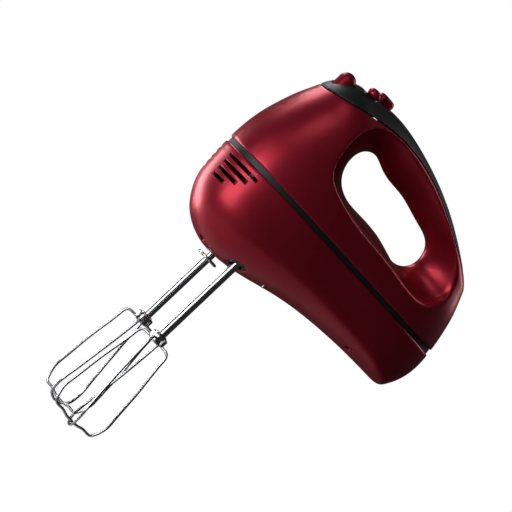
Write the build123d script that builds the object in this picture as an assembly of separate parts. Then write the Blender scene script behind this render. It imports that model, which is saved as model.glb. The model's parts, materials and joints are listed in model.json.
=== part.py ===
from build123d import *
import os
from math import cos, sin, pi, radians, sqrt

# Hand mixer, in millimetres.
# The drawing's datum: X = 0 is a station in the front third, Y = 0 the middle plane, Z = 0 the
# seam between the two housings. +X points to the heel, +Y to the right side, +Z to the handle.
# place() moves every piece so that the origin is the centre of the flat face on the heel pad.

# ---- overall sizes ----
body_length = 206.0
body_half_width = 42.0
body_top = 88.0
body_depth = 59.2
nose_reach = 69.8
wall = 2.4

# ---- seam, cover and heel ----
seam_over = 1.4
seam_under = 1.8
seam_recess = 1.3
cover_wall = 2.2
rest_level = -15.0
pad_width = 16.0
pad_height = 18.0
pad_thick = 3.0
rest_flat = 1.0

# ---- clearances ----
running = 0.05
slide_gap = 0.3

# ---- drive train ----
beater_x = -14.0
beater_pitch = 38.0
motor_z = -10.0
shaft_r = 3.0
gear_teeth = 29
gear_tip_r = 15.3
gear_root_r = 13.5
gear_thick = 7.0
gear_hub_r = 6.5
gear_hub_height = 12.0
worm_core_r = 4.35
worm_throw = 0.95
worm_length = 18.0
spindle_r = 4.5
spindle_top = 7.0
spindle_bottom = -49.0
bush_r = 6.5
bush_height = 6.0
bracket_top = 5.0
bracket_bottom = -40.0
bracket_plate = 4.0
bracket_half = 27.0
ring_r = 6.2
ring_recess = 0.5

# ---- motor ----
stack_length = 28.0
stack_front = 24.0
stator_half_width = 25.0
stator_half_height = 23.0
window_half_width = 20.0
window_half_height = 20.0
armature_r = 12.0
air_gap = 0.5
pole_face = 2.5
pole_neck_half = 6.0
coil_overhang = 5.0
armature_slots = 12
commutator_r = 7.0
commutator_length = 10.0
commutator_gap = 3.0
brush_width = 5.0
brush_height = 4.0
brush_length = 10.0
rear_plate = 4.0
bearing_r = 7.0
fan_r = 21.0
fan_front = 9.0
fan_length = 7.0
fan_blades = 9
through_bolt_r = 1.5

# ---- beaters ----
beater_shaft_r = 2.9
beater_shaft_top = 0.0
ear_reach = 4.2
ear_thick = 1.6
ear_height = 5.0
ear_level = -30.0
slot_width = 2.2
slot_top = -20.0
collar_r = 8.0
collar_height = 2.0
collar_level = -63.5
hub_top = -117.0
hub_height = 7.0
hub_r = 4.6
wire_r = 0.95
loop_corner_r = 12.5
loop_wide_r = 20.2
loop_wide_level = -184.0
loop_bottom = -199.3
loop_twist = 25.0
left_phase = 62.0
right_phase = 50.0

# ---- controls ----
eject_x = -45.2
eject_r = 6.1
eject_dome_level = 78.4
eject_skirt = 68.0
eject_travel = 7.0
stem_r = 3.2
arm_level = 20.0
arm_thick = 4.0
arm_width = 9.0
prong_r = 2.6
speed_x = -29.0
speed_start_y = -8.0
speed_travel = 16.0
speed_knob_r = 4.7
speed_stem_r = 1.6
speed_knob_bottom = 83.5
speed_knob_height = 5.6
speed_seat_step = 0.3
turbo_x = -16.5
turbo_length = 13.5
turbo_width = 9.5
turbo_top = 92.2
turbo_bottom = 78.0
switch_top = 72.5

# ---- cord entry ----
inlet_x = 106.0
inlet_level = -14.0
inlet_bore_r = 3.8
inlet_r = 7.0
inlet_flange_r = 9.0

nominal_length = 206.0
nominal_half_width = 42.0
nominal_top = 88.0
nominal_depth = 59.2
heel_x = body_length - nose_reach
reach_y = beater_pitch / 2
far = 300.0


def along(x):
    """A station of the body's outline, stretched with the body's length."""
    return -nose_reach + (x + nose_reach) * body_length / nominal_length


def up(z):
    """A height of the outline above the seam."""
    return z * body_top / nominal_top


def down(z):
    """A level of the outline below the seam."""
    return z * body_depth / nominal_depth


def wide(y):
    """A half width of the outline."""
    return y * body_half_width / nominal_half_width


def at_level(z):
    """Stretch a level with the part of the body that it lies in."""
    return up(z) if z > 0 else down(z)


# Plan sections: level, nose tip, nose radius, heel tip, heel radius, half width
PLAN = [
    (-64, -18, 12, 120, 21, 31.0),
    (-56.2, -42.2, 22, 122.5, 23, 36.0),
    (-50.8, -52.1, 28, 124, 24, 38.5),
    (-42.8, -59.9, 33, 126.5, 25, 40.5),
    (-33.5, -65.3, 36, 132, 27, 41.5),
    (-18, -68.6, 37.5, 137.2, 28, 41.0),
    (0, -69.8, 38, 136.2, 28, 41.0),
    (17.2, -69.2, 38, 132.2, 27, 40.5),
    (29, -67.3, 37, 128.3, 25.5, 40.0),
    (41, -64, 36, 122.8, 22.5, 39.5),
    (53.1, -59.8, 34, 117, 20.5, 37.0),
    (64, -55.0, 31, 110.5, 19, 34.0),
    (76, -50.5, 28, 102.5, 17, 30.0),
    (96, -42, 24, 88, 14, 24.0),
]

# Lengthwise sections: station, height of the top line, level of the underside
PROFILE = [
    (-84, 40.0, -59.0),
    (-62, 61.0, -59.2),
    (-52.4, 72.5, -59.2),
    (-40, 82.0, -59.2),
    (-26, 85.2, -59.2),
    (-7, 87.9, -57.0),
    (24, 85.8, -49.2),
    (50.4, 79.9, -44.4),
    (76.9, 70.4, -41.8),
    (96, 60.9, -40.8),
    (112, 51.6, -40.5),
    (130, 40.0, -40.5),
    (150, 26.0, -40.5),
]
crown_half_width = 48.0
crown_power = 2.0
belly_power = 2.1


def plan_section(level, nose, nose_r, heel, heel_r, half, inset):
    """Closed egg outline of the body at one level."""
    tip = along(nose) + inset
    radius = wide(nose_r) - inset
    heel_radius = wide(heel_r) - inset
    end = along(heel) - inset
    widest = wide(half) - inset
    front = tip + radius
    back = end - heel_radius
    side = [(front + radius * cos(radians(a)), radius * sin(radians(a))) for a in (180, 146, 112)]
    side.append((along(20), widest))
    side.append((along(64), 0.47 * widest + 0.53 * heel_radius + wide(3.0)))
    side += [(back + heel_radius * cos(radians(a)), heel_radius * sin(radians(a))) for a in (70, 36, 0)]
    points = side + [(x, -y) for x, y in reversed(side[1:-1])]
    z = at_level(level)
    return Wire([Edge.make_spline([Vector(x, y, z) for x, y in points], periodic=True)])


def cross_section(station, top, bottom, inset):
    """Closed crowned outline of the body at one station."""
    x = along(station)
    half = wide(crown_half_width) - inset
    points = []
    for step in range(20):
        angle = 2 * pi * step / 20
        power = 2 / crown_power if sin(angle) > 0 else 2 / belly_power
        reach = up(top) - inset if sin(angle) > 0 else -down(bottom) - inset
        y = half * (1 if cos(angle) > 0 else -1) * abs(cos(angle)) ** power
        z = reach * (1 if sin(angle) > 0 else -1) * abs(sin(angle)) ** power
        points.append(Vector(x, y, z))
    return Wire([Edge.make_spline(points, periodic=True)])


FORMS = {}


def body_form(inset):
    """The closed outer form of the whole body, drawn inwards by inset; each one is made once."""
    if inset not in FORMS:
        egg = Solid.make_loft([plan_section(*row, inset) for row in PLAN])
        loaf = Solid.make_loft([cross_section(*row, inset) for row in PROFILE])
        FORMS[inset] = egg & loaf
    return FORMS[inset]


# The finger opening: its outline in the middle plane, at the rim and outside the body
OPENING_MIDDLE = [
    (1.8, 34.8), (9.5, 29.8), (30, 27.9), (55, 26.2), (74, 23.9), (81.3, 28.6), (83.8, 37),
    (80.5, 46), (63, 52.4), (39, 56.6), (18, 58.2), (5, 61), (-1.4, 57.2), (-3.9, 46.5),
]
OPENING_RIM = [
    (-20, 32), (-5, 25.5), (24, 22), (56, 20.5), (82, 18.5), (98, 23), (104, 33),
    (99.5, 46), (77, 61.3), (44.5, 74), (14, 78), (-9, 75.5), (-21.5, 67), (-26, 49),
]
OPENING_OUTSIDE = [
    (-24, 29), (-7, 21.5), (22, 17), (58, 15), (86, 12.5), (104, 18), (111, 33),
    (104, 47), (78.5, 62), (45, 74.8), (14, 78.5), (-10, 76), (-23.5, 68), (-29, 49),
]
web_half = 5.0
rim_half = 22.0
outside_half = 60.0


def grown(outline, amount):
    """Push a closed outline outwards by amount along its own normals."""
    result = []
    count = len(outline)
    for i in range(count):
        ax, az = outline[i - 1]
        bx, bz = outline[(i + 1) % count]
        run = sqrt((bx - ax) ** 2 + (bz - az) ** 2)
        x, z = outline[i]
        result.append((x + amount * (bz - az) / run, z - amount * (bx - ax) / run))
    return result


def opening_wire(outline, y, amount):
    points = [(along(x), up(z)) for x, z in outline]
    return Wire([Edge.make_spline([Vector(x, y, z) for x, z in grown(points, amount)], periodic=True)])


def finger_opening(amount):
    """The flared cutter of the finger opening, grown by amount."""
    half = [
        opening_wire(OPENING_MIDDLE, 0, amount),
        opening_wire(OPENING_MIDDLE, wide(web_half), amount),
        opening_wire(OPENING_RIM, wide(rim_half), amount),
        opening_wire(OPENING_OUTSIDE, wide(outside_half), amount),
    ]
    right = Solid.make_loft(half, ruled=True)
    return right + right.mirror(Plane.XZ)


# Lower edge of the top cover, seen from the side
COVER_LINE = [
    (-57, 64.6), (-49, 67.2), (-39.5, 70.3), (-24.7, 74.2), (-10, 77.6), (4.9, 79.4),
    (20.3, 79.3), (43, 75.8), (58, 71.0), (81, 61.5), (106, 52.6),
]


def above_cover_line():
    """Everything above the cover's lower edge."""
    points = [Vector(along(x), far, up(z)) for x, z in COVER_LINE]
    start = Vector(along(-90), far, up(COVER_LINE[0][1]) - 2)
    end = Vector(along(150), far, up(COVER_LINE[-1][1]) - 16)
    edge = Edge.make_spline([start] + points + [end])
    roof = up(140)
    outline = Wire([
        edge,
        Edge.make_line(end, Vector(end.X, far, roof)),
        Edge.make_line(Vector(end.X, far, roof), Vector(start.X, far, roof)),
        Edge.make_line(Vector(start.X, far, roof), start),
    ])
    return Solid.extrude(Face(outline), Vector(0, -2 * far, 0))


def slab(low, high):
    """A thick level layer through the whole body."""
    return Pos(0, 0, (low + high) / 2) * Box(2 * far, 2 * far, high - low)


def block(x0, x1, y0, y1, z0, z1):
    return Pos((x0 + x1) / 2, (y0 + y1) / 2, (z0 + z1) / 2) * Box(x1 - x0, y1 - y0, z1 - z0)


def post(x, y, z0, z1, radius):
    """An upright cylinder."""
    return Pos(x, y, (z0 + z1) / 2) * Cylinder(radius, z1 - z0)


def axle(x0, x1, radius, y=0.0, z=motor_z):
    """A cylinder along X."""
    return Pos((x0 + x1) / 2, y, z) * Rot(0, 90, 0) * Cylinder(radius, x1 - x0)


def cross_pin(x, z, y0, y1, radius):
    """A cylinder along Y."""
    return Pos(x, (y0 + y1) / 2, z) * Rot(90, 0, 0) * Cylinder(radius, y1 - y0)


NODES = {}


def place(name, shape):
    """Keep one named piece, moved so that the heel pad's face is the origin."""
    NODES[name] = Pos(-heel_x, 0, -rest_level) * shape


# ---- stations that several pieces share ----
front_wall_x = beater_x - gear_tip_r - 5.0
rear_wall_x = beater_x + gear_tip_r + 1.7
wall_plate = 3.0
rear_wall_plate = 4.0
stack_rear = stack_front + stack_length
commutator_front = stack_rear + coil_overhang + commutator_gap
commutator_rear = commutator_front + commutator_length
rear_plate_x = commutator_rear + 2.0
screw_posts = [
    (front_wall_x + 6.0, -10.0), (front_wall_x + 6.0, 10.0),
    (rear_wall_x + rear_wall_plate + 4.0, -18.0), (rear_wall_x + rear_wall_plate + 4.0, 18.0),
]
post_r = 4.0
screw_r = 1.6
housing_screws = [(-38.5, -9.0), (-38.5, 9.0), (84.0, -22.0), (84.0, 22.0)]
housing_post_r = 3.6
cover_screws = [(-3.0, 70.0), (88.0, 48.0)]
bolt_y = window_half_width + 1.9
bolt_z = window_half_height + 0.9


def housing_post_list():
    return [(along(x), wide(y)) for x, y in housing_screws]


def beater_sides():
    return (("left", -reach_y), ("right", reach_y))


def make_housings():
    """Upper and lower shells, seam band and top cover, all from one outer form."""
    outer = body_form(0)
    inner = body_form(wall)
    opening = finger_opening(0)
    lined = finger_opening(wall)
    cover_space = above_cover_line()
    cavity = inner - lined
    skin = outer - opening

    # Lower housing: shell below the seam, posts, cradle ribs, vents and heel seat
    lower = (skin & slab(-far, -seam_under)) - (cavity & slab(-far, far))
    ribs = Part()
    floor = -far / 2
    for x, y in screw_posts:
        ribs += post(x, y, floor, bracket_bottom, post_r)
    for x, y in housing_post_list():
        ribs += post(x, y, floor, -seam_under, housing_post_r)
    rib_half = stator_half_width - 8
    for x in (stack_front + 4, stack_rear - 4):
        ribs += block(x - 1.2, x + 1.2, -rib_half, rib_half, floor, motor_z - stator_half_height)
    for side, y in beater_sides():
        ribs += post(beater_x, y, floor, bracket_bottom - 6, ring_r + 1.6)
    lower += ribs & body_form(wall / 2) & slab(-far, -seam_under)
    lower -= make_vents()
    for side, y in beater_sides():
        lower -= post(beater_x, y, -far, far, spindle_r + 0.6)
        lower -= post(beater_x, y, -far, spindle_bottom - 1.0, ring_r)
    for x, y in screw_posts:
        lower -= post(x, y, bracket_bottom - 12, far, screw_r)
    for x, y in housing_post_list():
        lower -= post(x, y, -far, far, screw_r)
        lower -= post(x, y, -far, -seam_under - 22, 2.9)
    lower -= cross_pin(inlet_x, inlet_level, 0, far, inlet_r)
    lower -= block(heel_x, far, -far, far, -far, far)
    lower -= pad_shape()
    place("lower_housing", lower)

    # Upper housing: shell above the seam and below the cover, with the lined finger opening
    upper = (skin & slab(seam_over, far)) - cover_space
    upper -= cavity & slab(-far, far)
    hold = Part()
    for x, y in housing_post_list():
        hold += post(x, y, seam_over, up(22), housing_post_r)
        if x < 0:
            hold += block(-far, x, y - 1.2, y + 1.2, seam_over, up(22))
        else:
            y0, y1 = sorted((y, far if y > 0 else -far))
            hold += block(x - 1.2, x + 1.2, y0, y1, seam_over, up(22))
    for x in (stack_front + 4, stack_rear - 4):
        hold += block(x - 1.2, x + 1.2, -12, 12, motor_z + stator_half_height, up(28))
    for x, z in cover_screws:
        hold += block(along(x) - 5, along(x) + 5, -wide(60), wide(60), up(z) - 3, up(z))
    upper += (hold & body_form(wall / 2)) - opening - cover_space
    for x, y in housing_post_list():
        upper -= post(x, y, 0, up(15), screw_r)
    for x, z in cover_screws:
        upper -= post(along(x), 0, 0, far, screw_r)
    upper -= block(heel_x, far, -far, far, -far, far)
    place("upper_housing", upper)

    # Seam band: a recessed strip that fills the gap between the shells
    band = (body_form(seam_recess) - body_form(wall + 1.4)) & slab(-seam_under, seam_over)
    for x, y in housing_post_list():
        band -= post(x, y, -far, far, screw_r)
    place("seam_band", band)

    # Top cover: a separate shell on top of the handle
    cover = (outer & cover_space) - body_form(cover_wall)
    tower = Part()
    for x, z in cover_screws:
        tower += post(along(x), 0, up(z), far, 3.4)
    cover += (tower & body_form(cover_wall / 2))
    for x, z in cover_screws:
        cover -= post(along(x), 0, 0, up(z) + 6, screw_r)
    slot_half = speed_travel / 2 + speed_stem_r + slide_gap
    slot_wide = speed_stem_r + slide_gap
    seat_half = speed_knob_r + 0.6
    seat_side = speed_travel / 2 + seat_half
    seat_level = speed_knob_bottom - speed_seat_step
    cover += (block(speed_x - seat_half - 1, speed_x + seat_half + 1, -seat_side - 1, seat_side + 1,
                    seat_level - 2.0, far) & body_form(cover_wall / 2))
    cover -= block(speed_x - seat_half, speed_x + seat_half, -seat_side, seat_side, seat_level, far)
    cover -= block(speed_x - slot_wide, speed_x + slot_wide, -slot_half, slot_half, 0, far)
    cover -= post(eject_x, 0, 0, far, eject_r + slide_gap)
    cover -= turbo_shape(slide_gap, 0, far)
    place("top_cover", cover)


def make_vents():
    """Four cooling slots on each side of the nose, shorter towards the bottom."""
    slots = Part()
    slot_height = 2.4
    slot_pitch = 5.1
    first = -7.4
    spine_half = 9.5
    for row in range(4):
        z = first - row * slot_pitch
        rear = along(-51 - row * 3.4)
        for side in (-1, 1):
            y0, y1 = sorted((side * spine_half, side * wide(60)))
            slots += block(along(-90), rear, y0, y1, z - slot_height / 2, z + slot_height / 2)
    return slots


def pad_shape():
    """The heel pad: a rounded plate with its flat face at the heel."""
    plate = Pos(heel_x - pad_thick / 2, 0, rest_level) * Box(pad_thick, pad_width, pad_height)
    return fillet(plate.edges().filter_by(Axis.X), 4.0)


def make_heel():
    place("heel_pad", pad_shape())
    y_face = wide(28.4)
    sleeve = cross_pin(inlet_x, inlet_level, y_face - 9, y_face, inlet_r - running)
    flange = cross_pin(inlet_x, inlet_level, y_face - 11, y_face - 9, inlet_flange_r)
    bore = cross_pin(inlet_x, inlet_level, -far, far, inlet_bore_r)
    place("cord_inlet", sleeve + flange - bore)
    clamp_x = inlet_x - 16
    clamp = block(clamp_x - 4, clamp_x + 4, 2, 18, inlet_level - 8, inlet_level - 4)
    clamp += block(clamp_x - 4, clamp_x + 4, 2, 18, inlet_level - 12, inlet_level - 9)
    clamp += block(clamp_x - 4, clamp_x + 4, 2, 5, inlet_level - 12, inlet_level - 4)
    clamp += block(clamp_x - 4, clamp_x + 4, 15, 18, inlet_level - 12, inlet_level - 4)
    place("cord_clamp", clamp)


def ring_on_x(x0, x1, outer_r, inner_r, z=motor_z):
    return axle(x0, x1, outer_r, z=z) - axle(x0 - 1, x1 + 1, inner_r, z=z)


def make_gearbox():
    """The bracket that carries the bushes and bearings of the gear drive."""
    top = block(front_wall_x, rear_wall_x + rear_wall_plate, -bracket_half, bracket_half,
                bracket_top - bracket_plate, bracket_top)
    bottom = block(front_wall_x, rear_wall_x + rear_wall_plate + 8.5, -bracket_half, bracket_half,
                   bracket_bottom, bracket_bottom + bracket_plate)
    front = block(front_wall_x, front_wall_x + wall_plate, -18, 18, bracket_bottom, bracket_top)
    rear = block(rear_wall_x, rear_wall_x + rear_wall_plate, -bracket_half, bracket_half,
                 bracket_bottom, bracket_top)
    bracket = top + bottom + front + rear
    bracket &= body_form(wall + 0.3)
    for side, y in beater_sides():
        bracket -= post(beater_x, y, -far, far, bush_r)
    bracket -= axle(-far, far, bearing_r)
    for x, y in screw_posts:
        bracket -= post(x, y, -far, bracket_bottom + bracket_plate, screw_r)
    for y in (-bolt_y, bolt_y):
        bracket -= axle(rear_wall_x, far, through_bolt_r, y=y, z=motor_z - bolt_z)
    place("gear_bracket", bracket)

    place("front_bearing", ring_on_x(front_wall_x, front_wall_x + wall_plate, bearing_r, shaft_r + running))
    place("middle_bearing", ring_on_x(rear_wall_x, rear_wall_x + rear_wall_plate, bearing_r, shaft_r + running))
    for side, y in beater_sides():
        for name, low in (("upper", bracket_top - bracket_plate), ("lower", bracket_bottom)):
            bush = post(beater_x, y, low, low + bracket_plate, bush_r)
            bush -= post(beater_x, y, -far, far, spindle_r + running)
            place(side + "_" + name + "_bush", bush)

    screws = Part()
    for x, y in screw_posts:
        low = bracket_bottom - 10
        head = bracket_bottom + bracket_plate
        screws += post(x, y, low, head, screw_r) + post(x, y, head, head + 2, 2.9)
    place("bracket_screws", screws)


def gear_outline():
    """One closed outline of straight-flanked teeth; a tooth points along +X."""
    points = []
    for tooth in range(gear_teeth):
        centre = 2 * pi * tooth / gear_teeth
        for radius, offset in ((gear_root_r, -0.85), (gear_tip_r, -0.25), (gear_tip_r, 0.25), (gear_root_r, 0.85)):
            angle = centre + offset / radius
            points.append((radius * cos(angle), radius * sin(angle)))
    return make_face(Polyline(points, close=True))


def make_spindles():
    """Hollow spindles with their drive gears; the left gear shows a tooth to the worm, the right a gap."""
    tooth_angle = 360 / gear_teeth
    for side, y in beater_sides():
        towards_worm = 90 if y < 0 else -90 + tooth_angle / 2
        teeth = extrude(gear_outline(), gear_thick / 2, both=True)
        gear = Pos(beater_x, y, motor_z) * Rot(0, 0, towards_worm) * teeth
        gear += post(beater_x, y, motor_z - gear_hub_height / 2, motor_z + gear_hub_height / 2, gear_hub_r)
        gear -= post(beater_x, y, -far, far, spindle_r)
        place(side + "_drive_gear", gear)
        spindle = post(beater_x, y, spindle_bottom, spindle_top, spindle_r)
        spindle -= post(beater_x, y, -far, far, beater_shaft_r + running)
        spindle -= block(beater_x - slot_width / 2, beater_x + slot_width / 2, y - 9, y + 9, -far, slot_top)
        place(side + "_spindle", spindle)
        ring = post(beater_x, y, -far, spindle_bottom - 1.0, ring_r) & body_form(ring_recess)
        ring -= post(beater_x, y, -far, far, spindle_r)
        place(side + "_socket_ring", ring)


def make_armature():
    """Everything that turns with the motor shaft."""
    place("motor_shaft", axle(front_wall_x - 1, rear_plate_x + rear_plate + 3, shaft_r))
    pitch = pi * (gear_tip_r + gear_root_r + 0.2) / gear_teeth
    turns = worm_length / pitch
    start = beater_x - worm_length / 2
    lift = 360 * (beater_x - start) / pitch
    section = Pos(worm_throw, 0) * Circle(worm_core_r)
    thread = Solid.extrude_linear_with_rotation(
        section.face(), center=(0, 0, 0), normal=(0, 0, worm_length), angle=360 * turns)
    worm = Pos(start, 0, motor_z) * Rot(90 - lift, 0, 0) * Rot(0, 90, 0) * thread
    worm -= axle(-far, far, shaft_r)
    place("worm", worm)

    fan = axle(fan_front, fan_front + 1.5, fan_r) + axle(fan_front, fan_front + fan_length, 6)
    for i in range(fan_blades):
        blade = Pos(fan_front + fan_length / 2, 0, 12.8) * Box(fan_length, 1.2, 14.4)
        fan += Pos(0, 0, motor_z) * Rot(360 * i / fan_blades, 0, 0) * blade
    fan &= axle(fan_front, fan_front + fan_length, fan_r)
    fan -= axle(-far, far, shaft_r)
    place("cooling_fan", fan)

    core = axle(stack_front, stack_rear, armature_r) - axle(-far, far, shaft_r)
    for i in range(armature_slots):
        slot = Pos((stack_front + stack_rear) / 2, 0, armature_r) * Box(stack_length + 2, 1.6, 6)
        core -= Pos(0, 0, motor_z) * Rot(360 * i / armature_slots, 0, 0) * slot
    place("armature_core", core)
    end_r = armature_r - 1.5
    windings = ring_on_x(stack_front - coil_overhang, stack_front, end_r, shaft_r)
    windings += ring_on_x(stack_rear, stack_rear + coil_overhang, end_r, shaft_r)
    place("armature_windings", windings)
    commutator = ring_on_x(commutator_front, commutator_rear, commutator_r, shaft_r)
    for i in range(armature_slots):
        gap = Pos((commutator_front + commutator_rear) / 2, 0, commutator_r) * Box(commutator_length + 2, 0.4, 1.6)
        commutator -= Pos(0, 0, motor_z) * Rot(360 * i / armature_slots + 15, 0, 0) * gap
    place("commutator", commutator)


def make_stator():
    """The still half of the motor."""
    bore = armature_r + air_gap
    middle = (stack_front + stack_rear) / 2
    yoke = Pos(middle, 0, motor_z) * Box(stack_length, 2 * stator_half_width, 2 * stator_half_height)
    yoke = fillet(yoke.edges().filter_by(Axis.X), 4.0)
    yoke -= Pos(middle, 0, motor_z) * Box(stack_length + 2, 2 * window_half_width, 2 * window_half_height)
    faces = ring_on_x(stack_front, stack_rear, bore + pole_face, bore)
    faces &= Pos(middle, 0, motor_z) * Box(stack_length, 22, 4 * bore)
    neck = Pos(middle, 0, motor_z) * Box(stack_length, 2 * pole_neck_half, 2 * window_half_height)
    neck -= axle(-far, far, bore)
    core = yoke + neck
    core += faces
    for y in (-bolt_y, bolt_y):
        core -= axle(-far, far, through_bolt_r + 0.2, y=y, z=motor_z - bolt_z)
    core &= body_form(wall + 0.2)
    place("stator_core", core)
    for name, side in (("top", 1), ("bottom", -1)):
        level = motor_z + side * (bore + pole_face + window_half_height) / 2
        height = window_half_height - bore - pole_face - 0.2
        coil = Pos(middle, 0, level) * Box(stack_length + 2 * coil_overhang, 34, height)
        coil = fillet(coil.edges().filter_by(Axis.Z), 4.0)
        coil -= Pos(middle, 0, level) * Box(stack_length + 0.4, 2 * pole_neck_half + 0.4, height + 1)
        place(name + "_field_coil", coil)

    plate = block(rear_plate_x, rear_plate_x + rear_plate, -24.5, 24.5, motor_z - 23.5, motor_z + 20)
    plate &= body_form(wall + 0.3)
    plate -= axle(-far, far, bearing_r)
    bolts = Part()
    for y in (-bolt_y, bolt_y):
        plate -= axle(-far, far, through_bolt_r, y=y, z=motor_z - bolt_z)
        bolts += axle(rear_wall_x + 0.5, rear_plate_x + rear_plate, through_bolt_r, y=y, z=motor_z - bolt_z)
        bolts += axle(rear_plate_x + rear_plate, rear_plate_x + rear_plate + 2, 2.4, y=y, z=motor_z - bolt_z)
    place("rear_motor_bracket", plate)
    place("motor_bolts", bolts)
    place("rear_bearing", ring_on_x(rear_plate_x, rear_plate_x + rear_plate, bearing_r, shaft_r + running))
    brush_x = (commutator_front + commutator_rear) / 2
    for side, sign in (("left", -1), ("right", 1)):
        near = commutator_r + running
        y0, y1 = sorted((sign * near, sign * (near + brush_length)))
        brush = block(brush_x - brush_width / 2, brush_x + brush_width / 2, y0, y1,
                      motor_z - brush_height / 2, motor_z + brush_height / 2)
        place(side + "_brush", brush)
        y0, y1 = sorted((sign * (near + 3), sign * 23))
        holder = block(brush_x - brush_width / 2 - 1, rear_plate_x, y0, y1,
                       motor_z - brush_height / 2 - 1, motor_z + brush_height / 2 + 1)
        channel = block(brush_x - brush_width / 2, brush_x + brush_width / 2, -far, far,
                        motor_z - brush_height / 2, motor_z + brush_height / 2)
        place(side + "_brush_holder", holder - channel)


def loop_wire(drop, twist):
    """One wire loop about the XZ plane, both ends in the hub, twisted evenly from top to bottom."""
    top = hub_top - hub_height / 2 - drop
    low = loop_bottom + wire_r + drop
    corner = loop_corner_r + 0.5
    widest = loop_wide_r - wire_r
    half = [
        (beater_shaft_r + 0.3, top),
        (0.64 * corner, top - 0.2),
        (corner - 2.2, top - 0.8),
        (corner - 0.5, top - 2.6),
        (corner, top - 6.0),
        ((corner + widest) / 2, (top + loop_wide_level) / 2),
        (widest - 0.6, loop_wide_level + 7.0),
        (widest, loop_wide_level),
        (0.93 * widest, loop_wide_level - 6.3),
        (0.76 * widest, low + 3.6),
        (0.50 * widest, low + 1.4),
        (0.24 * widest, low + 0.15),
    ]
    flat = half + [(0, low)] + [(-x, z) for x, z in reversed(half)]
    middle = (hub_top + loop_bottom) / 2
    span = hub_top - loop_bottom
    bent = []
    for x, z in flat:
        turn = radians(twist) * (middle - z) / span
        bent.append(Vector(x * cos(turn), x * sin(turn), z))
    path = Edge.make_spline(bent)
    return sweep(Plane(origin=path @ 0, z_dir=path % 0) * Circle(wire_r), path)


def make_cage():
    """The left beater's hub and its two wire loops, in place."""
    y = -reach_y
    hub = post(beater_x, y, hub_top - hub_height, hub_top, hub_r)
    for turn in (0, 90):
        jaw = Box(2 * hub_r + 3.0, 4.4, hub_height - 1)
        angle = left_phase - loop_twist / 2 + turn
        hub += Pos(beater_x, y, hub_top - hub_height / 2) * Rot(0, 0, angle) * jaw
    loops = []
    for turn, drop in ((0, 0.0), (90, 2 * wire_r + 0.15)):
        loops.append(Pos(beater_x, y, 0) * Rot(0, 0, left_phase + turn) * loop_wire(drop, loop_twist))
        level = hub_top - hub_height / 2 - drop
        span = hub_top - loop_bottom
        angle = left_phase + turn + loop_twist * ((hub_top + loop_bottom) / 2 - level) / span
        channel = Rot(0, 90, 0) * Cylinder(wire_r + 2 * running, 4 * hub_r)
        hub -= Pos(beater_x, y, level - running) * Rot(0, 0, angle) * channel
    hub -= post(beater_x, y, -far, far, beater_shaft_r)
    return [hub] + loops


def make_beaters():
    for side, y in beater_sides():
        shaft = post(beater_x, y, hub_top - hub_height / 2, beater_shaft_top, beater_shaft_r)
        shaft = chamfer(shaft.edges().group_by(Axis.Z)[-1], 0.8)
        shaft += block(beater_x - ear_thick / 2, beater_x + ear_thick / 2, y - ear_reach, y + ear_reach,
                       ear_level - ear_height, ear_level)
        place(side + "_beater_shaft", shaft)
    # the right cage is the left one mirrored, then turned so that the wires pass between each other
    cage = make_cage()
    turned = Rot(0, 0, right_phase + left_phase) * Pos(-beater_x, -reach_y, 0)
    for name, shape in zip(("hub", "loop_1", "loop_2"), cage):
        place("left_beater_" + name, shape)
        place("right_beater_" + name, Pos(beater_x, reach_y, 0) * turned * mirror(shape, Plane.XZ))
    collar = post(beater_x, reach_y, collar_level - collar_height / 2, collar_level + collar_height / 2, collar_r)
    collar -= post(beater_x, reach_y, -far, far, beater_shaft_r)
    place("right_beater_collar", collar)


def turbo_shape(gap, low, high):
    """The oval prism of the turbo button."""
    outline = SlotOverall(turbo_length + 2 * gap, turbo_width + 2 * gap)
    return Pos(turbo_x, 0, low) * extrude(outline, high - low)


def coil_spring(x, y, low, high, radius, wire, turns):
    """A helical spring standing on Z."""
    helix = Edge.make_helix((high - low - 2 * wire) / turns, high - low - 2 * wire, radius)
    path = Pos(x, y, low + wire) * helix
    return sweep(Plane(origin=path @ 0, z_dir=path % 0) * Circle(wire), path)


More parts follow.
